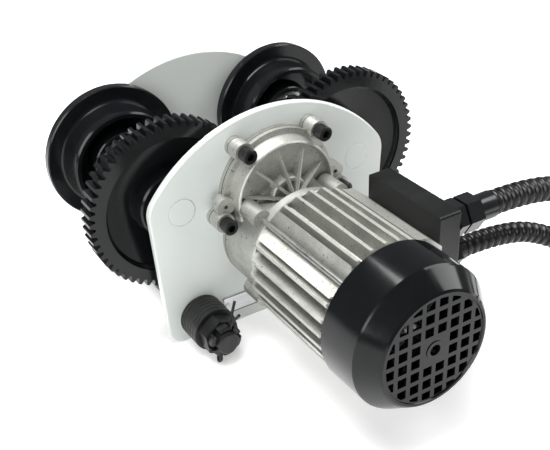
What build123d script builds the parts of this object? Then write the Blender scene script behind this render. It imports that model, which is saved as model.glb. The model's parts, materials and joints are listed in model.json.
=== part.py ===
"""Electric beam trolley of a wire rope hoist, in millimetres.

Frame: X runs along the beam, Y across it, Z up. The origin is on the middle plane
of the beam, on the rail surface, half way between the two axles. The motor is on
the -Y side. The trolley stands on the bottom edges of its two side plates.
"""
from build123d import *
import os
from math import acos, cos, hypot, pi, radians, sin, sqrt, tan

# ------------------------------------------------------------------ driving dimensions
# Gearing
wheel_module = 2.5
wheel_teeth = 58
pinion_teeth = 12
motor_module = 1.25
output_teeth = 52
motor_teeth = 12
pressure_angle = 20.0
wheel_backlash = 0.30
motor_backlash = 0.22
wheel_face = 18.0
motor_gear_face = 8.0

# Wheels
tread_r = 49.0
tread_len = 26.0
tread_fall = 1.5
flange_inner_span = 102.0
idler_flange_r = 64.0
idler_flange_t = 9.0
hub_r = 30.0

# Side plates
plate_t = 7.0
drive_gap = 7.0
idler_gap = 6.0
plate_half_top = 117.0
plate_half_bottom = 109.0
plate_crown = 71.0
plate_crown_r = 140.0
plate_drop = 128.0
plate_corner_top = 24.0
plate_corner_bottom = 14.0
plate_edge_round = 1.6

# Wheel axles and their bearings
axle_r = 10.0
axle_shank_r = 12.25
bearing_outer_r = 23.5
bearing_w = 14.0
ball_r = 3.6
ball_count = 8
ball_play = 0.35
ring_share = 0.29
fit = 0.05
ring_t = 1.2

# Load shafts
load_x = 79.0
load_drop = 106.0
load_r = 12.5
load_thread_r = 10.0
washer_r = 20.0
washer_t = 4.5
washer_edge = 0.7
washer_gap = 0.05
outer_washers = 6
inner_washers = 3
nut_af = 30.0
nut_h = 20.0
nut_slot = 5.0
nut_crown = 7.0
pin_turn = 22.0
load_end = 4.0

# Gearbox
base_t = 4.0
gasket_t = 1.0
flange_r = 53.5
case_r = 47.0
case_wall = 4.0
case_depth = 18.0
face_recess = 4.0
lug_pitch_r = 58.6
lug_angles = (52.0, 128.0, 192.0, 348.0)
web_angles = (179.0, 1.0)
lug_r = 8.5
lug_h = 13.0
screw_r = 4.0
screw_head_r = 6.5
screw_head_h = 8.0
screw_socket_af = 6.0
spring_t = 2.0
boss_r = 17.0
boss_h = 8.0
rib_count = 10
rib_phase = 98.0
bell_r = 52.0
bell_len = 45.0
bell_flange = 8.0
bell_flat_z = 49.0
rod_pad_r = 8.0
rib_t = 1.5
rib_reach = 40.5

# Motor
stator_len = 110.0
fin_r = 59.0
fin_t = 3.0
fin_pitch = 12.3
fin_count = 5
core_r = 46.5
lamination_r = 41.0
bore_r = 25.0
air_gap = 0.4
rotor_len = 72.0
rod_r = 2.2
rod_head_r = 3.2
rod_head_h = 4.0
rod_pitch_r = 54.2
shield_t = 6.0
cover_r = 61.0
cover_lap = 5.2
cover_band = 38.2
cover_len = 54.7
cover_face_r = 47.5
cover_wall = 2.2
grille_r = 43.5
grille_pitch = 11.5
grille_hole = 7.8
fan_r = 49.0
fan_blades = 7

# Terminal box and cable glands
pad_x = 55.0
pad_half = 36.0
box_depth = 21.0
box_base_t = 3.0
box_len = 90.0
box_height = 74.0
box_top = 59.0
box_wall = 2.6
box_front = 8.0

# Data plate
label_w = 52.0
label_h = 18.0
label_t = 0.8

# ------------------------------------------------------------------ places that follow
axle_x = wheel_module * (wheel_teeth + pinion_teeth) / 2
axle_z = tread_r
motor_z = axle_z - motor_module * (output_teeth + motor_teeth) / 2
half_span = flange_inner_span / 2
drive_in = -(half_span + wheel_face + drive_gap)
drive_out = drive_in - plate_t
idler_in = half_span + idler_flange_t + idler_gap
idler_out = idler_in + plate_t
plate_bottom = axle_z - plate_drop
load_z = axle_z - load_drop
base_y = drive_out - base_t
case_y = base_y - gasket_t
face_y = case_y - case_depth
recess_y = face_y + face_recess
bell_y = case_y - bell_len
stator_end = bell_y - stator_len
shield_y = stator_end - shield_t
cover_back = shield_y + cover_lap
cover_front = cover_back - cover_len
box_outer = pad_x + box_depth
box_y0 = stator_end + box_front
box_y1 = box_y0 + box_len
box_z1 = motor_z + box_top
box_z0 = box_z1 - box_height
beam_side = {"left": -1, "right": 1}


# ------------------------------------------------------------------ shared helpers
def facing(y, x=0.0, z=0.0):
    """A plane across the beam at y: local x is +X, local y is +Z, extrusions go to -Y."""
    return Plane(origin=(x, y, z), x_dir=(1, 0, 0), z_dir=(0, -1, 0))


def lathe(x=0.0, z=0.0):
    """The half plane of a turned piece: local x is the world's Y, local y is the radius."""
    return Plane(origin=(x, 0, z), x_dir=(0, 1, 0), z_dir=(1, 0, 0))


def spin_axis(x=0.0, z=0.0):
    return Axis((x, 0, z), (0, 1, 0))


def turned(points, x=0.0, z=0.0, mode=Mode.ADD):
    """Turn a closed outline of (y, radius) points about the line through x and z."""
    with BuildSketch(lathe(x, z)) as section:
        with BuildLine():
            Polyline(*points, close=True)
        make_face()
    revolve(section.sketch, axis=spin_axis(x, z), mode=mode)


def disc(y0, y1, outer, inner=0.0, x=0.0, z=0.0, mode=Mode.ADD):
    """A disc or a washer between two places along Y."""
    with BuildSketch(facing(max(y0, y1), x, z)) as section:
        Circle(outer)
        if inner:
            Circle(inner, mode=Mode.SUBTRACT)
    extrude(section.sketch, amount=abs(y1 - y0), mode=mode)


def hexagon_bar(y0, y1, across, x=0.0, z=0.0, turn=0.0, mode=Mode.ADD):
    """A hexagonal bar; turn is how far its top flat leans from +Z towards +X."""
    with BuildSketch(facing(max(y0, y1), x, z)) as section:
        RegularPolygon(across / 2, 6, major_radius=False, rotation=-turn)
    extrude(section.sketch, amount=abs(y1 - y0), mode=mode)


def save(builder, label):
    builder.part.label = label
    export_step(builder.part, f"parts/{label}.step")


def involute(base, radius):
    """The turn of an involute of this base circle where it reaches this radius."""
    roll = acos(base / radius)
    return tan(roll) - roll


def tooth_ring(teeth, module, tip_r, backlash, phase=0.0, steps=4):
    """The outline of a spur gear: straight lines between points of its involute flanks."""
    pitch_r = module * teeth / 2
    base_r = pitch_r * cos(radians(pressure_angle))
    root_r = pitch_r - 1.25 * module
    half = pi / 2 / teeth - backlash / 4 / pitch_r + involute(base_r, pitch_r)
    start_r = max(base_r, root_r)
    radii = [start_r + (tip_r - start_r) * k / steps for k in range(steps + 1)]
    flank = [(r, half - involute(base_r, r)) for r in radii]
    if root_r < base_r:
        flank.insert(0, (root_r, half))
    outline = []
    for tooth in range(teeth):
        middle = phase + 2 * pi * tooth / teeth
        for r, turn in flank:
            outline.append((r * cos(middle - turn), r * sin(middle - turn)))
        for r, turn in reversed(flank):
            outline.append((r * cos(middle + turn), r * sin(middle + turn)))
    with BuildLine() as edge:
        Polyline(*outline, close=True)
    make_face(edge.edges())


def tip_limit(teeth, mate, module):
    """The largest tip radius whose tooth still runs on the mate's involute."""
    distance = module * (teeth + mate) / 2
    base_r = module * teeth / 2 * cos(radians(pressure_angle))
    reach = hypot(base_r, distance * sin(radians(pressure_angle)))
    return min(module * (teeth / 2 + 1), reach - 0.15)


def bearing_part(label, kind, centres, inner_r, outer_r, width, ball, count):
    """One kind of piece of several ball bearings: their inner rings, outer rings or balls.

    centres lists the (x, y, z) of each bearing, and ball is the radius of its balls.
    """
    pitch = (inner_r + outer_r) / 2
    wall = (outer_r - inner_r) * ring_share
    span = {"inner": (inner_r, inner_r + wall), "outer": (outer_r - wall, outer_r)}
    with BuildPart() as piece:
        for x, y, z in centres:
            if kind == "balls":
                with Locations(facing(y, x, z)):
                    with PolarLocations(pitch, count):
                        Sphere(ball)
                continue
            low, high = span[kind]
            disc(y + width / 2, y - width / 2, high, low, x, z)
            with BuildSketch(lathe(x, z)) as groove:
                with Locations((y, pitch)):
                    Circle(ball + ball_play)
            revolve(groove.sketch, axis=spin_axis(x, z), mode=Mode.SUBTRACT)
    save(piece, label)


os.makedirs("parts", exist_ok=True)

# ------------------------------------------------------------------ side plates
axle_places = [(-axle_x, axle_z), (axle_x, axle_z)]
load_places = [(-load_x, load_z), (load_x, load_z)]
lug_places = [
    (lug_pitch_r * cos(radians(a)), axle_z + lug_pitch_r * sin(radians(a)))
    for a in lug_angles
]
spigot_r = 24.0
rivet_r = 1.6
label_x = -31.0
label_z = plate_bottom + 21.0
rivet_places = [(label_x + s * (label_w / 2 - 4), label_z) for s in (-1, 1)]


def plate_outline(plane):
    """Arched top, sides that close in a little downwards, flat bottom, round corners."""
    crown_z = axle_z + plate_crown
    centre_z = crown_z - plate_crown_r
    shoulder_z = centre_z + sqrt(plate_crown_r**2 - plate_half_top**2)
    with BuildSketch(plane) as outline:
        with BuildLine():
            ThreePointArc(
                (-plate_half_top, shoulder_z), (0, crown_z), (plate_half_top, shoulder_z)
            )
            Polyline(
                (plate_half_top, shoulder_z),
                (plate_half_bottom, plate_bottom),
                (-plate_half_bottom, plate_bottom),
                (-plate_half_top, shoulder_z),
            )
        make_face()
        fillet(outline.vertices().sort_by(Axis.Y)[:2], plate_corner_bottom)
        fillet(outline.vertices().sort_by(Axis.Y)[-2:], plate_corner_top)
    return outline.sketch


def side_plate(outer, inner, holes):
    """One plate; outer is its face away from the beam. holes lists ((x, z), radius)."""
    extrude(plate_outline(facing(max(outer, inner))), amount=plate_t)
    rims = edges().group_by(Axis.Y)
    fillet(rims[0] + rims[-1], plate_edge_round)
    for (x, z), radius in holes:
        disc(outer, inner, radius, x=x, z=z, mode=Mode.SUBTRACT)


with BuildPart() as drive_plate:
    drive_holes = [(place, axle_shank_r) for place in axle_places]
    drive_holes += [(place, load_thread_r + 0.5) for place in load_places]
    drive_holes += [(place, screw_r) for place in lug_places]
    drive_holes += [(place, rivet_r) for place in rivet_places]
    drive_holes.append(((0, axle_z), spigot_r))
    side_plate(drive_out, drive_in, drive_holes)
save(drive_plate, "drive_side_plate")

with BuildPart() as idler_plate:
    idler_holes = [(place, axle_shank_r) for place in axle_places]
    idler_holes += [(place, load_thread_r + 0.5) for place in load_places]
    side_plate(idler_out, idler_in, idler_holes)
save(idler_plate, "idler_side_plate")

with BuildPart() as data_plate:
    with BuildSketch(facing(drive_out, label_x, label_z)):
        RectangleRounded(label_w, label_h, 3)
        with Locations((-(label_w / 2 - 4), 0), (label_w / 2 - 4, 0)):
            Circle(rivet_r, mode=Mode.SUBTRACT)
    extrude(amount=label_t)
save(data_plate, "data_plate")

with BuildPart() as rivets:
    for x, z in rivet_places:
        head_y = drive_out - label_t
        turned(
            [
                (drive_in, 0),
                (drive_in, rivet_r),
                (head_y, rivet_r),
                (head_y, 2.6),
                (head_y - 0.7, 1.9),
                (head_y - 1.0, 0),
            ],
            x,
            z,
        )
save(rivets, "data_plate_rivets")

# ------------------------------------------------------------------ running wheels
hub_inset = 5.0
hub_end = 3.0
bearing_inset = 2.0
wheel_root = wheel_module * (wheel_teeth / 2 - 1.25)
recess_r = 42.5
ring_step_r = 60.0


def wheel_profile(outer, inner, rim_r, flange_inner, step_r):
    """Half section of a flanged wheel. outer is its plate side, inner its beam side.

    Y grows by `way` from the plate to the beam.
    """
    way = 1 if inner > outer else -1
    hub_out = outer - way * 1.0
    hub_in = inner - way * hub_end
    seat_out = hub_out + way * (bearing_inset + bearing_w)
    seat_in = hub_in - way * (bearing_inset + bearing_w)
    web_front = outer + way * 9
    web_back = outer + way * 17
    return [
        (hub_out, bearing_outer_r),
        (hub_out, hub_r - 1.5),
        (hub_out + way * 1.5, hub_r),
        (web_front, hub_r + 2),
        (outer + way * 5, step_r - 3),
        (outer + way * 1.5, step_r - 0.5),
        (outer, step_r),
        (outer, rim_r - 1),
        (outer + way, rim_r),
        (flange_inner - way, rim_r),
        (flange_inner, rim_r - 1),
        (flange_inner, tread_r + 3),
        (flange_inner + way * 0.6, tread_r + 1.4),
        (flange_inner + way * 2, tread_r + tread_fall / 2),
        (inner - way * 1.5, tread_r - tread_fall / 2),
        (inner, tread_r - tread_fall / 2 - 1.5),
        (inner, recess_r + 1),
        (inner - way * 1.5, recess_r),
        (web_back, recess_r - 2),
        (web_back, hub_r + 1),
        (hub_in - way, hub_r - 1.5),
        (hub_in, hub_r - 2.5),
        (hub_in, bearing_outer_r),
        (seat_in, bearing_outer_r),
        (seat_in, bearing_outer_r - 3),
        (seat_out, bearing_outer_r - 3),
        (seat_out, bearing_outer_r),
    ]


drive_wheel_out = -half_span - wheel_face
drive_wheel_in = -half_span + tread_len
idler_wheel_out = half_span + idler_flange_t
idler_wheel_in = half_span - tread_len
wheel_tip = tip_limit(wheel_teeth, pinion_teeth, wheel_module)
half_tooth = pi / wheel_teeth

for side, sign in beam_side.items():
    x = sign * axle_x
    with BuildPart() as drive_wheel:
        turned(
            wheel_profile(
                drive_wheel_out, drive_wheel_in, wheel_root, -half_span, ring_step_r
            ),
            x,
            axle_z,
        )
        with BuildSketch(facing(-half_span, x, axle_z)):
            tooth_ring(
                wheel_teeth, wheel_module, wheel_tip, wheel_backlash, half_tooth, steps=3
            )
            Circle(wheel_root - 1.5, mode=Mode.SUBTRACT)
        extrude(amount=wheel_face)
    save(drive_wheel, f"drive_wheel_{side}")

    with BuildPart() as idler_wheel:
        turned(
            wheel_profile(
                idler_wheel_out, idler_wheel_in, idler_flange_r, half_span, ring_step_r - 6
            ),
            x,
            axle_z,
        )
    save(idler_wheel, f"idler_wheel_{side}")

# Wheel bearings, two in each hub.
wheel_bearing = (axle_r, bearing_outer_r, bearing_w, ball_r, ball_count)
bearing_places = {}
every_place = []
for row, outer, inner in (
    ("drive", drive_wheel_out, drive_wheel_in),
    ("idler", idler_wheel_out, idler_wheel_in),
):
    way = 1 if inner > outer else -1
    first = outer - way + way * (bearing_inset + bearing_w / 2)
    second = inner - way * (hub_end + bearing_inset + bearing_w / 2)
    bearing_places[row] = (first, second)
    for side, sign in beam_side.items():
        places = [(sign * axle_x, y, axle_z) for y in (first, second)]
        every_place += places
        bearing_part(f"{row}_wheel_{side}_outer_rings", "outer", places, *wheel_bearing)
bearing_part("wheel_bearing_inner_rings", "inner", every_place, *wheel_bearing)
bearing_part("wheel_bearing_balls", "balls", every_place, *wheel_bearing)


# ------------------------------------------------------------------ wheel axles
collar_r = 14.0
groove_depth = 0.9


def axle_profile(plate_outer, plate_inner, first, second):
    """Axle: shank in the plate, collar, bearing seat, ring groove, chamfered end."""
    way = 1 if second > first else -1
    collar_end = first - way * bearing_w / 2
    groove = second + way * bearing_w / 2
    return [
        (plate_outer, 0),
        (plate_outer, axle_shank_r),
        (plate_inner, axle_shank_r),
        (plate_inner, collar_r + 2),
        (collar_end - way * 2, collar_r + 2),
        (collar_end, collar_r),
        (collar_end, axle_r),
        (groove, axle_r),
        (groove, axle_r - groove_depth),
        (groove + way * ring_t, axle_r - groove_depth),
        (groove + way * ring_t, axle_r),
        (groove + way * 2.2, axle_r),
        (groove + way * 3.0, axle_r - 0.8),
        (groove + way * 3.0, 0),
    ]


for row, plate_outer, plate_inner in (
    ("drive", drive_out, drive_in),
    ("idler", idler_out, idler_in),
):
    first, second = bearing_places[row]
    for side, sign in beam_side.items():
        with BuildPart() as axle:
            turned(
                axle_profile(plate_outer, plate_inner, first, second),
                sign * axle_x,
                axle_z,
            )
        save(axle, f"{row}_axle_{side}")

with BuildPart() as axle_rings:
    for row, (first, second) in bearing_places.items():
        way = 1 if second > first else -1
        start = second + way * bearing_w / 2
        for x, z in axle_places:
            disc(start, start + way * ring_t, axle_r + 3.2, axle_r - groove_depth, x, z)
            with BuildSketch(facing(max(start, start + way * ring_t), x, z)):
                with Locations((0, -axle_r - 1)):
                    Rectangle(6, 9)
            extrude(amount=ring_t, mode=Mode.SUBTRACT)
save(axle_rings, "axle_retaining_rings")

with BuildPart() as inner_spacers:
    for row, (first, second) in bearing_places.items():
        low = min(first, second) + bearing_w / 2
        high = max(first, second) - bearing_w / 2
        for x, z in axle_places:
            disc(low, high, axle_r + 3.4, axle_r, x, z)
save(inner_spacers, "axle_spacer_sleeves")

# ------------------------------------------------------------------ load shafts
washer_stack = outer_washers * washer_t
shoulder_lo = drive_in + inner_washers * washer_t
shoulder_hi = idler_in - inner_washers * washer_t
drive_nut = drive_out - washer_stack
idler_nut = idler_out + washer_stack
shaft_lo = drive_nut - nut_h - load_end
shaft_hi = idler_nut + nut_h + load_end
pin_hole_r = 3.4
pin_wire_r = 1.3
pin_inset = nut_h - 3.2


def pin_plane(x, y):
    """The plane across a split pin at its shaft's axis: its normal is along the pin."""
    lean = radians(pin_turn)
    return Plane(
        origin=(x, y, load_z), x_dir=(0, 1, 0), z_dir=(sin(lean), 0, cos(lean))
    )


for side, sign in beam_side.items():
    x = sign * load_x
    with BuildPart() as load_shaft:
        turned(
            [
                (shaft_lo, 0),
                (shaft_lo, load_thread_r - 1.2),
                (shaft_lo + 1.2, load_thread_r),
                (shoulder_lo, load_thread_r),
                (shoulder_lo, load_r),
                (shoulder_hi, load_r),
                (shoulder_hi, load_thread_r),
                (shaft_hi - 1.2, load_thread_r),
                (shaft_hi, load_thread_r - 1.2),
                (shaft_hi, 0),
            ],
            x,
            load_z,
        )
        for y in (drive_nut - pin_inset, idler_nut + pin_inset):
            with BuildSketch(pin_plane(x, y)):
                Circle(pin_hole_r)
            extrude(amount=load_thread_r + 1, both=True, mode=Mode.SUBTRACT)
    save(load_shaft, f"load_shaft_{side}")

with BuildPart() as washers:
    for x, z in load_places:
        for start, way, count in (
            (drive_out, -1, outer_washers),
            (idler_out, 1, outer_washers),
            (drive_in, 1, inner_washers),
            (idler_in, -1, inner_washers),
        ):
            for k in range(count):
                near = start + way * k * washer_t
                far = near + way * (washer_t - washer_gap)
                turned(
                    [
                        (near, load_thread_r + 0.3),
                        (near, washer_r - washer_edge),
                        (near + way * washer_edge, washer_r),
                        (far - way * washer_edge, washer_r),
                        (far, washer_r - washer_edge),
                        (far, load_thread_r + 0.3),
                    ],
                    x,
                    z,
                )
save(washers, "spacer_washers")

with BuildPart() as castle_nuts:
    for x, z in load_places:
        for start, way in ((drive_nut, -1), (idler_nut, 1)):
            end = start + way * nut_h
            crown = start + way * (nut_h - nut_crown)
            hexagon_bar(start, crown, nut_af, x, z, pin_turn)
            turned(
                [
                    (crown, 0),
                    (crown, nut_af / 2 - 0.6),
                    (end - way, nut_af / 2 - 0.6),
                    (end, nut_af / 2 - 1.6),
                    (end, 0),
                ],
                x,
                z,
            )
            disc(start, end, load_thread_r, x=x, z=z, mode=Mode.SUBTRACT)
            with BuildSketch(facing(max(crown, end), x, z)) as slots:
                for k in range(3):
                    Rectangle(nut_slot, nut_af + 2, rotation=60 * k - pin_turn)
            extrude(slots.sketch, amount=nut_crown, mode=Mode.SUBTRACT)
save(castle_nuts, "castle_nuts")

with BuildPart() as split_pins:
    for x, z in load_places:
        for start, way in ((drive_nut, -1), (idler_nut, 1)):
            place = pin_plane(x, start + way * pin_inset)
            gap = pin_wire_r + 0.05
            # (along Y, along the pin): one leg, the eye below the nut, the other leg.
            wire_points = [
                (way * 8, 28),
                (way * gap, 17.5),
                (way * gap, -15.5),
                (way * 3.2, -17.5),
                (0, -21),
                (-way * 3.2, -17.5),
                (-way * gap, -15.5),
                (-way * gap, 17.5),
                (-way * 3.5, 35),
            ]
            path_points = [place.from_local_coords(Vector(u, 0, v)) for u, v in wire_points]
            with BuildLine() as wire:
                FilletPolyline(*path_points, radius=1.4)
            with BuildSketch(Plane(wire.line @ 0, z_dir=wire.line % 0)) as section:
                Circle(pin_wire_r)
            sweep(section.sketch, path=wire.line)
save(split_pins, "split_pins")

# ------------------------------------------------------------------ gearbox
output_bearing = (7.5, 14.0, 7.0)
motor_bearing = (7.5, 17.5, 11.0)
gear_cavity = case_r - case_wall
output_tip = tip_limit(output_teeth, motor_teeth, motor_module)
motor_tip = tip_limit(motor_teeth, output_teeth, motor_module)
gear_hi = case_y - 1.5
gear_lo = gear_hi - motor_gear_face
cavity_y = case_y - case_depth + face_recess + case_wall
far_seat = cavity_y - output_bearing[2]
pinion_room = 12.0
screw_clear = screw_r + 0.3
seat_near = drive_in - output_bearing[2]
boss_front = recess_y - boss_h
rib_top = recess_y - 17
web_places = [
    (lug_pitch_r * cos(radians(a)) * 0.93, axle_z + lug_pitch_r * sin(radians(a)) * 0.93)
    for a in web_angles
]
rod_offset = rod_pitch_r / sqrt(2)
rod_places = [
    (sx * rod_offset, motor_z + sz * rod_offset) for sx in (-1, 1) for sz in (-1, 1)
]


def gearbox_outline(radius):
    """Round flange about the output shaft, round foot about the motor, and four lugs."""
    with Locations((0, axle_z)):
        Circle(radius)
    with Locations((0, motor_z)):
        Circle(bell_r)
    with Locations(*lug_places):
        Circle(lug_r)


def screw_holes(radius, y0, y1):
    for x, z in lug_places:
        disc(y0, y1, radius, x=x, z=z, mode=Mode.SUBTRACT)


with BuildPart() as gearbox_base:
    with BuildSketch(facing(drive_out)):
        gearbox_outline(flange_r)
    extrude(amount=base_t)
    disc(drive_out, drive_in, spigot_r, z=axle_z)
    disc(drive_in, seat_near, output_bearing[1], z=axle_z, mode=Mode.SUBTRACT)
    disc(drive_in, base_y, output_bearing[1] - 3, z=axle_z, mode=Mode.SUBTRACT)
    screw_holes(screw_clear, drive_out, base_y)
save(gearbox_base, "gearbox_base_plate")

with BuildPart() as gasket:
    with BuildSketch(facing(base_y)):
        gearbox_outline(flange_r)
        with Locations((0, axle_z)):
            Circle(gear_cavity, mode=Mode.SUBTRACT)
        with Locations((0, motor_z)):
            Circle(pinion_room, mode=Mode.SUBTRACT)
    extrude(amount=gasket_t)
    screw_holes(screw_clear, base_y, case_y)
save(gasket, "gearbox_gasket")

with BuildPart() as gearbox_housing:
    with BuildSketch(facing(case_y)):
        gearbox_outline(flange_r)
    extrude(amount=4)
    with BuildSketch(facing(case_y)):
        with Locations(*lug_places):
            Circle(lug_r)
    extrude(amount=lug_h)
    turned(
        [
            (case_y, 0),
            (case_y, case_r + 2),
            (face_y + 3, case_r),
            (face_y + 1, case_r - 0.3),
            (face_y, case_r - 1.4),
            (face_y, case_r - 2.4),
            (recess_y, case_r - 3.6),
            (recess_y, 0),
        ],
        z=axle_z,
    )
    # Motor bell: round to its front flange, with a flat top behind the flange.
    turned(
        [
            (case_y, 0),
            (case_y, bell_r),
            (bell_y + 1, bell_r),
            (bell_y, bell_r - 1),
            (bell_y, 0),
        ],
        z=motor_z,
    )
    with BuildSketch(facing(face_y, 0, bell_flat_z + bell_r)):
        Rectangle(2 * bell_r, 2 * bell_r)
    extrude(amount=bell_len - case_depth - bell_flange, mode=Mode.SUBTRACT)
    # Boss over the far bearing of the output shaft.
    turned(
        [
            (recess_y, 0),
            (recess_y, boss_r + 1),
            (boss_front + 1.2, boss_r),
            (boss_front, boss_r - 1.2),
            (boss_front, boss_r - 4),
            (boss_front + 2, boss_r - 4.6),
            (boss_front + 2, 0),
        ],
        z=axle_z,
    )
    # Ribs that climb from the recess over the boss to the flange of the bell.
    for k in range(rib_count):
        turn = radians(360 / rib_count * k + rib_phase)
        if sin(turn) * rib_reach + axle_z < bell_flat_z:
            continue
        outward = Vector(cos(turn), 0, sin(turn))
        for half, draft in ((rib_t / 2, 0), (rib_t, 2.5)):
            with BuildSketch(
                Plane(origin=(0, 0, axle_z), x_dir=outward, z_dir=outward.cross(Vector(0, 1, 0)))
            ) as rib:
                with BuildLine():
                    Polyline(
                        (rib_reach - draft, recess_y + 1),
                        (rib_reach - draft, recess_y - 0.6),
                        (4, rib_top + draft),
                        (4, recess_y + 1),
                        close=True,
                    )
                make_face()
            extrude(rib.sketch, amount=half, both=True)
    # Pads for the tie rods.
    for x, z in rod_places:
        disc(face_y + 2, bell_y + 5, rod_pad_r, x=x, z=z)
    # Webs beside the two lower lugs, each with a dowel hole.
    for x, z in web_places:
        disc(case_y, case_y - lug_h + 3, lug_r - 0.5, x=x, z=z)
        disc(case_y - lug_h + 3, case_y - lug_h + 8, 1.8, x=x, z=z, mode=Mode.SUBTRACT)
    # Gear chamber, then the bearing seats and the motor chamber.
    disc(case_y, cavity_y, gear_cavity, z=axle_z, mode=Mode.SUBTRACT)
    disc(case_y, cavity_y, pinion_room, z=motor_z, mode=Mode.SUBTRACT)
    disc(cavity_y, far_seat, output_bearing[1], z=axle_z, mode=Mode.SUBTRACT)
    disc(cavity_y, bell_y, 9.0, z=motor_z, mode=Mode.SUBTRACT)
    seal_y = bell_y + 29
    disc(seal_y, seal_y - 6, 13.0, z=motor_z, mode=Mode.SUBTRACT)
    disc(bell_y + 20, bell_y, motor_bearing[1], z=motor_z, mode=Mode.SUBTRACT)
    turned(
        [
            (bell_y, 0),
            (bell_y, core_r - 3),
            (bell_y + 7, core_r - 5),
            (bell_y + 7, motor_bearing[1] + 5),
            (bell_y + 4, motor_bearing[1] + 3),
            (bell_y + 4, 0),
        ],
        z=motor_z,
        mode=Mode.SUBTRACT,
    )
    screw_holes(screw_clear, case_y, case_y - lug_h)
    for x, z in rod_places:
        disc(bell_y + 5, bell_y + 17, rod_r, x=x, z=z, mode=Mode.SUBTRACT)
save(gearbox_housing, "gearbox_housing")

with BuildPart() as screws:
    for x, z in lug_places:
        seat = case_y - lug_h - spring_t
        turned(
            [
                (seat, 0),
                (seat, screw_head_r),
                (seat - screw_head_h + 0.8, screw_head_r),
                (seat - screw_head_h, screw_head_r - 0.8),
                (seat - screw_head_h, 0),
            ],
            x,
            z,
        )
        disc(drive_in - 0.5, seat, screw_r, x=x, z=z)
        top = seat - screw_head_h
        hexagon_bar(top, top + screw_head_h / 2, screw_socket_af, x, z, mode=Mode.SUBTRACT)
save(screws, "gearbox_screws")

with BuildPart() as springs:
    for x, z in lug_places:
        seat = case_y - lug_h
        disc(seat, seat - spring_t, screw_head_r - 0.2, screw_r, x, z)
        with BuildSketch(facing(seat, x, z)) as split:
            with Locations((screw_head_r - 2, 0)):
                Rectangle(6, 1.2, rotation=20)
        extrude(split.sketch, amount=spring_t, mode=Mode.SUBTRACT)
save(springs, "gearbox_spring_washers")

# ------------------------------------------------------------------ gear train
pinion_over = 1.0
pinion_lo = drive_wheel_out - pinion_over
pinion_hi = -half_span + pinion_over
shaft_r = output_bearing[0]
hub_start = drive_in - output_bearing[2] - 0.3
gear_hub_r = shaft_r + 3.0
key_w = 5.0
key_rise = 2.3
key_y0 = gear_lo + 0.5
key_y1 = gear_hi + 1.5
near_centre = (0, drive_in - output_bearing[2] / 2, axle_z)
far_centre = (0, cavity_y - output_bearing[2] / 2, axle_z)

with BuildPart() as output_shaft:
    with BuildSketch(facing(pinion_hi, 0, axle_z)):
        tooth_ring(
            pinion_teeth,
            wheel_module,
            tip_limit(pinion_teeth, wheel_teeth, wheel_module),
            wheel_backlash,
        )
    extrude(amount=pinion_hi - pinion_lo)
    turned(
        [
            (pinion_lo, 0),
            (pinion_lo, shaft_r + 2),
            (drive_in, shaft_r + 2),
            (drive_in, shaft_r),
            (far_seat + 0.8, shaft_r),
            (far_seat, shaft_r - 0.8),
            (far_seat, 0),
        ],
        z=axle_z,
    )
    with BuildSketch(facing(key_y1, 0, axle_z + shaft_r)):
        Rectangle(key_w, 2 * key_rise)
    extrude(amount=key_y1 - key_y0, mode=Mode.SUBTRACT)
save(output_shaft, "output_pinion_shaft")

with BuildPart() as output_gear:
    with BuildSketch(facing(gear_hi, 0, axle_z)):
        tooth_ring(output_teeth, motor_module, output_tip, motor_backlash, steps=3)
    extrude(amount=motor_gear_face)
    disc(hub_start, gear_hi, gear_hub_r, z=axle_z)
    disc(hub_start, gear_lo, shaft_r, z=axle_z, mode=Mode.SUBTRACT)
    for k in range(5):
        turn = radians(72 * k + 54)
        disc(
            gear_hi,
            gear_lo,
            5.5,
            x=21 * cos(turn),
            z=axle_z + 21 * sin(turn),
            mode=Mode.SUBTRACT,
        )
    with BuildSketch(facing(hub_start, 0, axle_z + shaft_r)):
        Rectangle(key_w, 2 * key_rise)
    extrude(amount=hub_start - gear_lo, mode=Mode.SUBTRACT)
save(output_gear, "output_gear")

small_balls = (2.0, 10)
for kind, label in (("inner", "inner_rings"), ("outer", "outer_rings"), ("balls", "balls")):
    bearing_part(
        f"output_bearing_{label}",
        kind,
        [near_centre, far_centre],
        *output_bearing,
        *small_balls,
    )

# ------------------------------------------------------------------ motor
front_seat = bell_y + 20
rear_seat = shield_y + 2
front_centre = (0, front_seat - motor_bearing[2] / 2, motor_z)
rear_centre = (0, rear_seat + motor_bearing[2] / 2, motor_z)
motor_balls = (2.9, 8)
rotor_lo = (bell_y + stator_end) / 2 - rotor_len / 2
rotor_hi = rotor_lo + rotor_len
journal_r = motor_bearing[0]
body_r = 9.0
neck_r = motor_module * motor_teeth / 2 - 1.25 * motor_module - 0.1
fan_y = shield_y - 6.0
fan_hub_len = 12.0
shaft_tail = fan_y - fan_hub_len - 3

for kind, label in (("inner", "inner_rings"), ("outer", "outer_rings"), ("balls", "balls")):
    bearing_part(
        f"motor_bearing_{label}",
        kind,
        [front_centre, rear_centre],
        *motor_bearing,
        *motor_balls,
    )

with BuildPart() as shaft_seal:
    disc(seal_y, seal_y - 6, 13.0, journal_r + fit, z=motor_z)
save(shaft_seal, "motor_shaft_seal")

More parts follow.
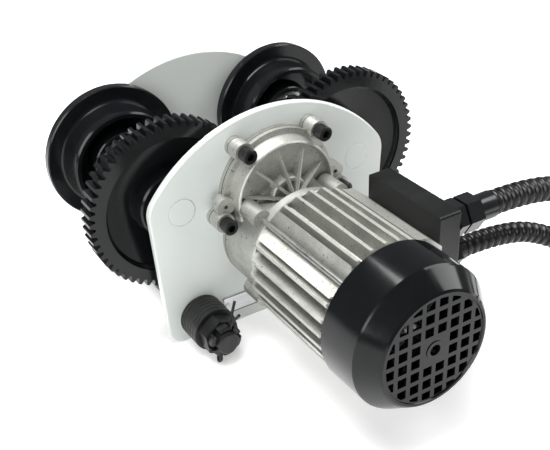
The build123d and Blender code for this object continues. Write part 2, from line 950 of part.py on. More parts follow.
with BuildPart() as rotor_shaft:
    with BuildSketch(facing(gear_hi, 0, motor_z)):
        tooth_ring(
            motor_teeth, motor_module, motor_tip, motor_backlash, pi / motor_teeth
        )
    extrude(amount=motor_gear_face)
    turned(
        [
            (gear_lo, 0),
            (gear_lo, neck_r),
            (seal_y + 2, neck_r),
            (seal_y + 1, journal_r),
            (front_seat - motor_bearing[2], journal_r),
            (front_seat - motor_bearing[2], body_r),
            (rear_seat + motor_bearing[2], body_r),
            (rear_seat + motor_bearing[2], journal_r),
            (rear_seat, journal_r),
            (rear_seat, 6),
            (shaft_tail + 0.8, 6),
            (shaft_tail, 5.2),
            (shaft_tail, 0),
        ],
        z=motor_z,
    )
save(rotor_shaft, "rotor_shaft")

with BuildPart() as rotor_core:
    disc(rotor_lo, rotor_hi, bore_r - air_gap, body_r, z=motor_z)
    for start, way in ((rotor_hi, 1), (rotor_lo, -1)):
        disc(start, start + way * 6, bore_r - 1.5, 16.0, z=motor_z)
save(rotor_core, "rotor_core")

slot_count = 24
slot_mid = 31.8
slot_depth = 7.4
slot_w = 3.4
with BuildPart() as stator_core:
    disc(rotor_lo, rotor_hi, lamination_r, bore_r, z=motor_z)
    with BuildSketch(facing(rotor_hi, 0, motor_z)) as slot_cut:
        with PolarLocations(slot_mid, slot_count):
            Rectangle(slot_depth, slot_w)
    extrude(slot_cut.sketch, amount=rotor_len, mode=Mode.SUBTRACT)
save(stator_core, "stator_core")

with BuildPart() as windings:
    with BuildSketch(facing(rotor_hi, 0, motor_z)) as wires:
        with PolarLocations(slot_mid, slot_count):
            Rectangle(slot_depth, slot_w)
    extrude(wires.sketch, amount=rotor_len)
    for start, way in ((rotor_hi, 1), (rotor_lo, -1)):
        turned(
            [
                (start, 27.2),
                (start, 36.2),
                (start + way * 4, 38),
                (start + way * 10, 38.5),
                (start + way * 13, 36),
                (start + way * 13, 31),
                (start + way * 9, 28),
            ],
            z=motor_z,
        )
save(windings, "stator_windings")


def fins(turn):
    """The fins of one flank: equal pitch, tips on one circle."""
    for k in range(fin_count):
        offset = (k - (fin_count - 1) / 2) * fin_pitch
        reach = sqrt(fin_r**2 - (abs(offset) + fin_t / 2) ** 2)
        with BuildSketch(facing(bell_y, 0, motor_z)) as fin:
            with BuildLine():
                foot = core_r - 12
                corners = [
                    (offset - fin_t / 2 - 0.5, foot),
                    (offset - fin_t / 2, reach),
                    (offset + fin_t / 2, reach),
                    (offset + fin_t / 2 + 0.5, foot),
                ]
                spun = [Vector(*c).rotate(Axis.Z, turn) for c in corners]
                Polyline(*[(v.X, v.Y) for v in spun], close=True)
            make_face()
        extrude(fin.sketch, amount=stator_len)


corner_out = 30.5
corner_top = sqrt(fin_r**2 - corner_out**2)
valley = (rod_pitch_r - rod_r - 1.2) / sqrt(2)
pad_top = 50.0

with BuildPart() as stator_housing:
    disc(bell_y, stator_end, core_r, z=motor_z)
    for turn in (0, 90, 180):
        fins(turn)
    # Corner blocks with a shallow valley for the tie rod.
    for sx, sz in ((-1, 1), (-1, -1)):
        with BuildSketch(facing(bell_y, 0, motor_z)):
            with BuildLine():
                Polyline(
                    (sx * 20, sz * 20),
                    (sx * corner_out, sz * corner_top),
                    (sx * (valley - 1.5), sz * (valley + 1.5)),
                    (sx * (valley + 1.5), sz * (valley - 1.5)),
                    (sx * corner_top, sz * corner_out),
                    close=True,
                )
            make_face()
        extrude(amount=stator_len)
    # The flank that carries the terminal box.
    with BuildSketch(facing(bell_y, 0, motor_z)):
        with BuildLine():
            Polyline(
                (20, 20),
                (corner_out, pad_top),
                (corner_out + 10, pad_top - 1.5),
                (pad_x, pad_half),
                (pad_x, -pad_half),
                (corner_out + 10, -pad_top + 1.5),
                (corner_out, -pad_top),
                (20, -20),
                close=True,
            )
        make_face()
    extrude(amount=stator_len)
    # Bevelled fin ends.
    turned(
        [(bell_y, bell_r - 1), (bell_y - 9, fin_r + 1), (bell_y - 9, 80), (bell_y, 80)],
        z=motor_z,
        mode=Mode.SUBTRACT,
    )
    turned(
        [
            (stator_end, core_r + 5),
            (stator_end + 5, fin_r + 1),
            (stator_end + 5, 80),
            (stator_end, 80),
        ],
        z=motor_z,
        mode=Mode.SUBTRACT,
    )
    disc(bell_y, stator_end, lamination_r, z=motor_z, mode=Mode.SUBTRACT)
    for x, z in rod_places:
        disc(bell_y, stator_end, rod_r + 0.2, x=x, z=z, mode=Mode.SUBTRACT)
    with BuildSketch(Plane(origin=(pad_x, 0, motor_z), x_dir=(0, 1, 0), z_dir=(1, 0, 0))):
        with Locations(((box_y0 + box_y1) / 2, 0)):
            SlotOverall(30, 14)
    extrude(amount=-20, mode=Mode.SUBTRACT)
save(stator_housing, "stator_housing")

with BuildPart() as rear_shield:
    turned(
        [
            (stator_end, 0),
            (stator_end, cover_r - cover_wall - 0.1),
            (shield_y, cover_r - cover_wall - 0.1),
            (shield_y, 0),
        ],
        z=motor_z,
    )
    disc(stator_end + 9, stator_end, 23.0, z=motor_z)
    disc(stator_end + 9, rear_seat, motor_bearing[1], z=motor_z, mode=Mode.SUBTRACT)
    disc(rear_seat, shield_y, 10.0, z=motor_z, mode=Mode.SUBTRACT)
    for x, z in rod_places:
        disc(stator_end, shield_y, rod_r + 0.2, x=x, z=z, mode=Mode.SUBTRACT)
save(rear_shield, "motor_rear_shield")

with BuildPart() as tie_rods:
    for x, z in rod_places:
        disc(bell_y + 17, shield_y, rod_r, x=x, z=z)
        disc(shield_y, shield_y - rod_head_h, rod_head_r, x=x, z=z)
        hexagon_bar(
            shield_y - rod_head_h, shield_y - 1.5, 3.0, x, z, mode=Mode.SUBTRACT
        )
save(tie_rods, "motor_tie_rods")

with BuildPart() as fan:
    disc(fan_y, fan_y - fan_hub_len, 10.0, 6.0, z=motor_z)
    disc(fan_y, fan_y - 1.8, fan_r, 6.0, z=motor_z)
    with BuildSketch(facing(fan_y - 1.8, 0, motor_z)) as blades:
        with PolarLocations((fan_r + 9) / 2, fan_blades):
            Rectangle(fan_r - 9, 2)
    extrude(blades.sketch, amount=17)
save(fan, "cooling_fan")

ridge_y = cover_back - cover_band
with BuildPart() as fan_cover:
    turned(
        [
            (cover_back, cover_r - cover_wall),
            (cover_back, cover_r),
            (ridge_y + 1, cover_r - 0.5),
            (ridge_y - 0.5, cover_r - 1.5),
            (cover_front + 1.5, cover_face_r + 1.2),
            (cover_front, cover_face_r - 0.5),
            (cover_front, cover_face_r - 2.5),
            (cover_front + 1, grille_r + 1),
            (cover_front + 1, 0),
            (cover_front + 3.2, 0),
            (cover_front + 3.2, cover_face_r - 2),
            (ridge_y, cover_r - cover_wall - 1.5),
            (ridge_y + 1.5, cover_r - cover_wall - 0.3),
        ],
        z=motor_z,
    )
    half_count = 4
    steps = [(k + 0.5) * grille_pitch for k in range(-half_count, half_count)]
    with BuildSketch(facing(cover_front + 4, 0, motor_z)):
        for u in steps:
            for v in steps:
                if abs(u) > grille_pitch or abs(v) > grille_pitch:
                    with Locations((u, v)):
                        Rectangle(grille_hole, grille_hole)
        Circle(grille_r, mode=Mode.INTERSECT)
    extrude(amount=5, mode=Mode.SUBTRACT)
    disc(cover_front + 1, cover_front + 0.4, 7.5, 4.6, z=motor_z)
    disc(cover_front + 4, cover_front, 4.6, z=motor_z, mode=Mode.SUBTRACT)
save(fan_cover, "fan_cover")

# ------------------------------------------------------------------ terminal box
box_mid = ((box_y0 + box_y1) / 2, (box_z0 + box_z1) / 2)
box_screw_in = 6.0
box_screw_places = [
    (box_y0 + box_screw_in, box_z0 + box_screw_in),
    (box_y1 - box_screw_in, box_z0 + box_screw_in),
    (box_y1 - box_screw_in, box_z1 - box_screw_in),
    (box_y0 + 36, box_z1 - box_screw_in),
]
gland_y_up = box_y0 + 14.0
gland_y_low = box_y0 + 28.0
gland_z_up = box_z1 - 14.5
gland_z_low = gland_z_up - 43.5


def sideways(x):
    """A plane across X: local x is +Y, local y is +Z, extrusions go to +X."""
    return Plane(origin=(x, 0, 0), x_dir=(0, 1, 0), z_dir=(1, 0, 0))


def block(x0, x1, y0, y1, z0, z1, corner=0.0, mode=Mode.ADD):
    with BuildSketch(sideways(x0)) as section:
        with Locations(((y0 + y1) / 2, (z0 + z1) / 2)):
            if corner:
                RectangleRounded(y1 - y0, z1 - z0, corner)
            else:
                Rectangle(y1 - y0, z1 - z0)
    extrude(section.sketch, amount=x1 - x0, mode=mode)


def round_bar(x0, x1, y, z, outer, inner=0.0, mode=Mode.ADD):
    with BuildSketch(sideways(x0)) as section:
        with Locations((y, z)):
            Circle(outer)
            if inner:
                Circle(inner, mode=Mode.SUBTRACT)
    extrude(section.sketch, amount=x1 - x0, mode=mode)


cover_start = pad_x + box_base_t
with BuildPart() as box_base:
    block(pad_x, cover_start, box_y0, box_y1, box_z0, box_z1, 3.0)
    block(
        pad_x - 1,
        cover_start,
        box_mid[0] - 11,
        box_mid[0] + 11,
        motor_z - 5,
        motor_z + 5,
        mode=Mode.SUBTRACT,
    )
    for y, z in box_screw_places:
        round_bar(cover_start, cover_start + 4, y, z, 3.2)
        round_bar(pad_x + 1.0, cover_start + 4, y, z, 1.75, mode=Mode.SUBTRACT)
save(box_base, "terminal_box_base")

with BuildPart() as box_cover:
    block(cover_start, box_outer, box_y0, box_y1, box_z0, box_z1, 3.0)
    fillet(faces().sort_by(Axis.X)[-1].edges(), 1.2)
    block(
        cover_start,
        box_outer - box_wall,
        box_y0 + box_wall,
        box_y1 - box_wall,
        box_z0 + box_wall,
        box_z1 - box_wall,
        1.5,
        mode=Mode.SUBTRACT,
    )
    for y, z in box_screw_places:
        round_bar(cover_start + 4, box_outer - 1, y, z, 4.0)
        round_bar(cover_start + 4, box_outer, y, z, 1.9, mode=Mode.SUBTRACT)
    round_bar(box_outer - 8, box_outer, gland_y_up, gland_z_up, 10.0, mode=Mode.SUBTRACT)
    round_bar(box_outer - 8, box_outer, gland_y_low, gland_z_low, 9.0, mode=Mode.SUBTRACT)
save(box_cover, "terminal_box_cover")

with BuildPart() as box_screws:
    for y, z in box_screw_places:
        round_bar(pad_x + 1.2, box_outer, y, z, 1.75)
        round_bar(box_outer, box_outer + 2.2, y, z, 3.5)
        block(
            box_outer + 1.0, box_outer + 2.2, y - 3.6, y + 3.6, z - 0.5, z + 0.5, 0.0, Mode.SUBTRACT
        )
save(box_screws, "terminal_box_screws")

with BuildPart() as terminal_block:
    block_y0 = box_mid[0] - 4
    block(cover_start, cover_start + 6, block_y0, block_y0 + 36, motor_z + 8, motor_z + 30, 2.0)
    for k in range(3):
        for row in range(2):
            y, z = block_y0 + 7 + 11 * k, motor_z + 13.5 + 11 * row
            round_bar(cover_start + 6, cover_start + 12, y, z, 2.0)
            round_bar(cover_start + 7, cover_start + 9.4, y, z, 3.4)
save(terminal_block, "terminal_block")


def gland(name, y, z, entry_r, across, body_len, nut_len, collar_len, tube_r):
    """Cable gland: hexagon body screwed through the cover, and hexagon nut with collar.

    The conduit's end face stands against the collar. Returns where the collar ends.
    """
    body_end = box_outer + body_len
    nut_start = body_end + 2.5
    nut_end = nut_start + nut_len
    with BuildPart() as body:
        with BuildSketch(sideways(box_outer)) as hexagon:
            with Locations((y, z)):
                RegularPolygon(across / 2, 6, major_radius=False)
        extrude(hexagon.sketch, amount=body_len)
        round_bar(box_outer - 7, nut_start, y, z, entry_r)
        round_bar(box_outer - 5.5, box_outer - box_wall, y, z, entry_r + 1.2)
        round_bar(box_outer - 7, nut_start, y, z, entry_r - 2.5, mode=Mode.SUBTRACT)
    save(body, f"{name}_gland_body")
    with BuildPart() as nut:
        with BuildSketch(sideways(nut_start)) as hexagon:
            with Locations((y, z)):
                RegularPolygon(across / 2, 6, major_radius=False)
        extrude(hexagon.sketch, amount=nut_len)
        round_bar(nut_end, nut_end + collar_len, y, z, tube_r + 0.8)
        round_bar(nut_start, nut_end + collar_len, y, z, tube_r - 3, mode=Mode.SUBTRACT)
        rim = faces().sort_by(Axis.X)[-1].edges()
        chamfer(rim.sort_by(SortBy.LENGTH)[-1], 0.8)
    save(nut, f"{name}_gland_nut")
    return nut_end + collar_len


upper_r = 10.6
lower_r = 9.25
upper_exit = gland("upper", gland_y_up, gland_z_up, 10.0, 27.0, 8.0, 14.0, 18.5, upper_r)
lower_exit = gland("lower", gland_y_low, gland_z_low, 9.0, 24.0, 7.0, 10.0, 8.5, lower_r)

# ------------------------------------------------------------------ conduits
upper_route = [
    (upper_exit, gland_y_up, gland_z_up),
    (172, gland_y_up, gland_z_up),
    (225.5, -233.5, 34.5),
    (266, -266, 2),
    (286, -316, -33),
    (287, -376, -60),
    (270, -438, -68),
    (238, -492, -65),
]
lower_route = [
    (lower_exit, gland_y_low, gland_z_low),
    (155, gland_y_low, gland_z_low),
    (204.5, -216, -9),
    (241, -245.5, -37.5),
    (257.5, -292, -60),
    (254.5, -342.5, -68),
    (233, -388, -67.5),
]


def bend_radii(route):
    """The arc at each corner: 0.45 of the shorter run over the tangent of half the turn."""
    radii = []
    for a, b, c in zip(route, route[1:], route[2:]):
        before, after = Vector(*b) - Vector(*a), Vector(*c) - Vector(*b)
        half = radians(before.get_angle(after) / 2)
        radii.append(0.45 * min(before.length, after.length) / tan(half))
    return radii


def conduit(name, route, radius):
    """The conduit as a plain round bar, and the straight connector on its far end."""
    radii = bend_radii(route)
    with BuildPart() as tube:
        with BuildLine() as path:
            FilletPolyline(*route, radius=radii)
        line = path.wires()[0]
        with BuildSketch(Plane(origin=line @ 0, z_dir=line % 0)) as section:
            Circle(radius)
        sweep(section.sketch, path=line)
    save(tube, f"{name}_conduit")
    length = line.length
    print(f"{name}_conduit: length {length:.1f}, radii", [round(r) for r in radii])
    print(f"  volume over section x length {tube.part.volume / (pi * radius**2 * length):.5f}")
    end = Plane(origin=line @ 1, z_dir=line % 1)
    with BuildPart() as connector:
        with BuildSketch(end) as collar:
            Circle(radius + 1.4)
        extrude(collar.sketch, amount=9)
        with BuildSketch(end.offset(9)) as hexagon:
            RegularPolygon(radius + 2.2, 6, major_radius=False)
        extrude(hexagon.sketch, amount=9)
        with BuildSketch(end.offset(18)) as spigot:
            Circle(radius - 1)
        extrude(spigot.sketch, amount=11)
        with BuildSketch(end.offset(2)) as bore:
            Circle(radius - 3)
        extrude(bore.sketch, amount=27, mode=Mode.SUBTRACT)
    save(connector, f"{name}_conduit_connector")


conduit("upper", upper_route, upper_r)
conduit("lower", lower_route, lower_r)
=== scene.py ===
"""Looks of the electric beam trolley of a wire rope hoist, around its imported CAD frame.

Everything is in metres: X along the beam, Y across it with the motor at -Y, Z up.
"""
import json
from math import cos, radians, sin

import bmesh
import bpy
from mathutils import Matrix, Vector


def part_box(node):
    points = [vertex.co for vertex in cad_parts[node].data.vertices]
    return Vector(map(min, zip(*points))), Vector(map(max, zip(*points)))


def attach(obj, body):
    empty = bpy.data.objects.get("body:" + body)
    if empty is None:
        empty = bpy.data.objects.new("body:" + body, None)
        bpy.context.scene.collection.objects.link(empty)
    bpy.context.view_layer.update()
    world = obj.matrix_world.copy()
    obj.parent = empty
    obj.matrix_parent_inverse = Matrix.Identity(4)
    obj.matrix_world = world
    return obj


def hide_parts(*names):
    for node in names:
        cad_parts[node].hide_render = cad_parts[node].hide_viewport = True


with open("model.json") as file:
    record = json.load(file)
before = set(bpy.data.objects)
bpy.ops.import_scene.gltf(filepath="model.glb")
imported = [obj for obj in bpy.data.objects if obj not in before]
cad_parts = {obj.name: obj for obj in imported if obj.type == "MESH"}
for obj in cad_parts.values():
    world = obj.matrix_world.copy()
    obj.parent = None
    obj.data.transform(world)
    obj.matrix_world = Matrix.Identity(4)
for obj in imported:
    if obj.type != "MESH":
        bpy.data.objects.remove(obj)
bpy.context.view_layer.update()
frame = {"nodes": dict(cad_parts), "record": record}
NODES = frame["nodes"]
FRAME_BODY = "trolley_frame"
FLOOR_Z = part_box("drive_side_plate")[0].z
MM = 0.001


# ------------------------------------------------------------------ camera
def place_camera():
    """A camera in front of the motor, above it and to its left, rolled a little."""
    turn, height, roll = radians(-30.76), radians(30.88), radians(-2.3)
    right = Vector((cos(turn), sin(turn), 0))
    back = Vector((sin(turn) * cos(height), -cos(turn) * cos(height), sin(height)))
    up = back.cross(right)
    rolled_right = right * cos(roll) + up * sin(roll)
    rolled_up = up * cos(roll) - right * sin(roll)
    lens = bpy.data.cameras.new("studio_camera")
    lens.sensor_width = 36
    lens.lens = 61.4
    lens.clip_start = 0.01
    camera = bpy.data.objects.new("studio_camera", lens)
    bpy.context.scene.collection.objects.link(camera)
    axes = Matrix((rolled_right, rolled_up, back)).transposed()
    camera.matrix_world = Matrix.Translation((-0.3615, -0.6906, 0.4298)) @ axes.to_4x4()
    bpy.context.scene.camera = camera


# ------------------------------------------------------------------ node tools
def add_node(tree, kind, at, **settings):
    """A node of this kind. Settings name its properties, or its input sockets."""
    node = tree.nodes.new("ShaderNode" + kind)
    node.location = (at[0] * 200, at[1] * 160)
    for name, value in settings.items():
        socket = name.replace("_", " ").title()
        if hasattr(node, name):
            setattr(node, name, value)
        else:
            node.inputs[socket].default_value = value
    return node


def new_group(name, inputs, outputs):
    """An empty node group. inputs lists (name, kind, value) and outputs (name, kind)."""
    group = bpy.data.node_groups.new(name, "ShaderNodeTree")
    for socket, kind, value in inputs:
        made = group.interface.new_socket(socket, in_out="INPUT", socket_type=kind)
        if value is not None:
            made.default_value = value
    for socket, kind in outputs:
        group.interface.new_socket(socket, in_out="OUTPUT", socket_type=kind)
    return group, group.nodes.new("NodeGroupInput"), group.nodes.new("NodeGroupOutput")


def noise(tree, at, vector, scale, detail=4.0, rough=0.55):
    node = add_node(tree, "TexNoise", at, detail=detail, roughness=rough)
    tree.links.new(vector, node.inputs["Vector"])
    if isinstance(scale, float):
        node.inputs["Scale"].default_value = scale
    else:
        tree.links.new(scale, node.inputs["Scale"])
    return node.outputs["Fac"]


def remap(tree, at, value, low, high, to_low=0.0, to_high=1.0):
    node = add_node(tree, "MapRange", at)
    for socket, given in zip(node.inputs, (value, low, high, to_low, to_high)):
        if hasattr(given, "is_linked"):
            tree.links.new(given, socket)
        else:
            socket.default_value = given
    return node.outputs["Result"]


def sums(tree, at, operation, a, b):
    node = add_node(tree, "Math", at, operation=operation)
    for socket, given in zip(node.inputs, (a, b)):
        if hasattr(given, "is_linked"):
            tree.links.new(given, socket)
        else:
            socket.default_value = given
    return node.outputs["Value"]


def blend_colours(tree, at, share, first, second):
    node = add_node(tree, "Mix", at, data_type="RGBA")
    for socket, given in zip((node.inputs[0], node.inputs[6], node.inputs[7]), (share, first, second)):
        if hasattr(given, "is_linked"):
            tree.links.new(given, socket)
        else:
            socket.default_value = given
    return node.outputs[2]


# ------------------------------------------------------------------ shared effects
def make_cast_skin():
    """Skin of a die casting: fine grain, cloudy patches and scattered dark pores."""
    group, into, out = new_group(
        "cast skin",
        [
            ("Vector", "NodeSocketVector", None),
            ("Bright", "NodeSocketColor", (0.7, 0.7, 0.7, 1)),
            ("Dull", "NodeSocketColor", (0.4, 0.4, 0.4, 1)),
            ("Grain", "NodeSocketFloat", 900.0),
            ("Smoothest", "NodeSocketFloat", 0.3),
            ("Roughest", "NodeSocketFloat", 0.6),
        ],
        [
            ("Colour", "NodeSocketColor"),
            ("Roughness", "NodeSocketFloat"),
            ("Height", "NodeSocketFloat"),
        ],
    )
    place = into.outputs["Vector"]
    grain = noise(group, (1, 3), place, into.outputs["Grain"], 5.0, 0.65)
    clouds = noise(group, (1, 1), place, 42.0, 5.0, 0.6)
    specks = noise(group, (1, -1), place, 420.0, 2.0, 0.5)
    patch = remap(group, (2, 1), clouds, 0.36, 0.66)
    pores = remap(group, (2, -1), specks, 0.66, 0.74)
    gritty = remap(group, (2, 3), grain, 0.35, 0.68)
    cloudy = sums(group, (3, 2), "MULTIPLY", patch, 0.55)
    fine = sums(group, (3, 3), "MULTIPLY", gritty, 0.45)
    share = sums(group, (4, 2), "ADD", cloudy, fine)
    base = blend_colours(group, (5, 2), share, into.outputs["Dull"], into.outputs["Bright"])
    pitted = blend_colours(group, (6, 1), pores, base, (0.12, 0.12, 0.12, 1))
    rough = remap(
        group, (5, 0), share, 0.1, 0.9, into.outputs["Roughest"], into.outputs["Smoothest"]
    )
    deep = sums(group, (5, -2), "MULTIPLY", pores, 0.7)
    height = sums(group, (6, -1), "SUBTRACT", grain, deep)
    group.links.new(pitted, out.inputs["Colour"])
    group.links.new(rough, out.inputs["Roughness"])
    group.links.new(height, out.inputs["Height"])
    return group


def make_coat_skin():
    """Skin of a paint, powder or moulded plastic: orange peel, haze and a little dust."""
    group, into, out = new_group(
        "coat skin",
        [
            ("Vector", "NodeSocketVector", None),
            ("Colour", "NodeSocketColor", (0.8, 0.8, 0.8, 1)),
            ("Dust", "NodeSocketColor", (0.5, 0.5, 0.5, 1)),
            ("Dust Share", "NodeSocketFloat", 0.1),
            ("Peel", "NodeSocketFloat", 500.0),
            ("Smoothest", "NodeSocketFloat", 0.2),
            ("Roughest", "NodeSocketFloat", 0.35),
        ],
        [
            ("Colour", "NodeSocketColor"),
            ("Roughness", "NodeSocketFloat"),
            ("Height", "NodeSocketFloat"),
        ],
    )
    place = into.outputs["Vector"]
    peel = noise(group, (1, 3), place, into.outputs["Peel"], 2.0, 0.5)
    haze = noise(group, (1, 1), place, 28.0, 4.0, 0.6)
    specks = noise(group, (1, -1), place, 1300.0, 2.0, 0.5)
    cloud = remap(group, (2, 1), haze, 0.42, 0.72)
    flecks = remap(group, (2, -1), specks, 0.62, 0.74)
    dusty = sums(group, (3, 0), "MULTIPLY", sums(group, (2.5, 0), "ADD", flecks, 0.35), cloud)
    share = sums(group, (4, 0), "MULTIPLY", dusty, into.outputs["Dust Share"])
    colour = blend_colours(group, (5, 1), share, into.outputs["Colour"], into.outputs["Dust"])
    rough = remap(
        group, (5, -1), haze, 0.3, 0.7, into.outputs["Smoothest"], into.outputs["Roughest"]
    )
    group.links.new(colour, out.inputs["Colour"])
    group.links.new(rough, out.inputs["Roughness"])
    group.links.new(peel, out.inputs["Height"])
    return group


def make_drawn_metal():
    """Skin of drawn, turned or brushed metal: fine lines along one axis, and stains."""
    group, into, out = new_group(
        "drawn metal",
        [
            ("Vector", "NodeSocketVector", None),
            ("Light", "NodeSocketColor", (0.7, 0.7, 0.7, 1)),
            ("Dark", "NodeSocketColor", (0.4, 0.4, 0.4, 1)),
            ("Smoothest", "NodeSocketFloat", 0.2),
            ("Roughest", "NodeSocketFloat", 0.45),
        ],
        [
            ("Colour", "NodeSocketColor"),
            ("Roughness", "NodeSocketFloat"),
            ("Height", "NodeSocketFloat"),
        ],
    )
    lines = noise(group, (1, 2), into.outputs["Vector"], 1.0, 3.0, 0.6)
    stains = noise(group, (1, 0), into.outputs["Vector"], 0.12, 3.0, 0.6)
    streak = remap(group, (2, 2), lines, 0.3, 0.7)
    stain = remap(group, (2, 0), stains, 0.4, 0.65)
    share = sums(group, (3, 1), "MULTIPLY", streak, sums(group, (2.5, 0), "ADD", stain, 0.3))
    colour = blend_colours(group, (4, 1), share, into.outputs["Dark"], into.outputs["Light"])
    rough = remap(
        group, (4, -1), streak, 0.0, 1.0, into.outputs["Roughest"], into.outputs["Smoothest"]
    )
    group.links.new(colour, out.inputs["Colour"])
    group.links.new(rough, out.inputs["Roughness"])
    group.links.new(lines, out.inputs["Height"])
    return group


CAST_SKIN = make_cast_skin()
COAT_SKIN = make_coat_skin()
DRAWN_METAL = make_drawn_metal()


def finish(name, effect, stretch=(1, 1, 1), bump=0.1, bump_depth=0.0002, shader=None, **values):
    """A material: one shared effect with its own values, a bump from its height.

    stretch scales the pattern along X, Y and Z, and shader sets the shader's sockets.
    """
    material = bpy.data.materials.new(name)
    material.use_nodes = True
    tree = material.node_tree
    tree.nodes.clear()
    out = add_node(tree, "OutputMaterial", (5, 0))
    surface = add_node(tree, "BsdfPrincipled", (4, 0))
    place = add_node(tree, "TexCoord", (0, 0))
    mapping = add_node(tree, "Mapping", (1, 0), scale=stretch)
    skin = tree.nodes.new("ShaderNodeGroup")
    skin.node_tree = effect
    skin.location = (400, 0)
    for socket, value in values.items():
        skin.inputs[socket.replace("_", " ")].default_value = value
    height = add_node(tree, "Bump", (3, -2), strength=bump, distance=bump_depth)
    for socket, value in (shader or {}).items():
        surface.inputs[socket].default_value = value
    tree.links.new(place.outputs["Object"], mapping.inputs["Vector"])
    tree.links.new(mapping.outputs["Vector"], skin.inputs["Vector"])
    tree.links.new(skin.outputs["Colour"], surface.inputs["Base Color"])
    tree.links.new(skin.outputs["Roughness"], surface.inputs["Roughness"])
    tree.links.new(skin.outputs["Height"], height.inputs["Height"])
    tree.links.new(height.outputs["Normal"], surface.inputs["Normal"])
    tree.links.new(surface.outputs["BSDF"], out.inputs["Surface"])
    return material


def grey(value, tint=0.0):
    """A neutral colour; a positive tint turns it a little blue."""
    return (value * (1 - tint), value, value * (1 + tint), 1)


METAL = {"Metallic": 1.0}

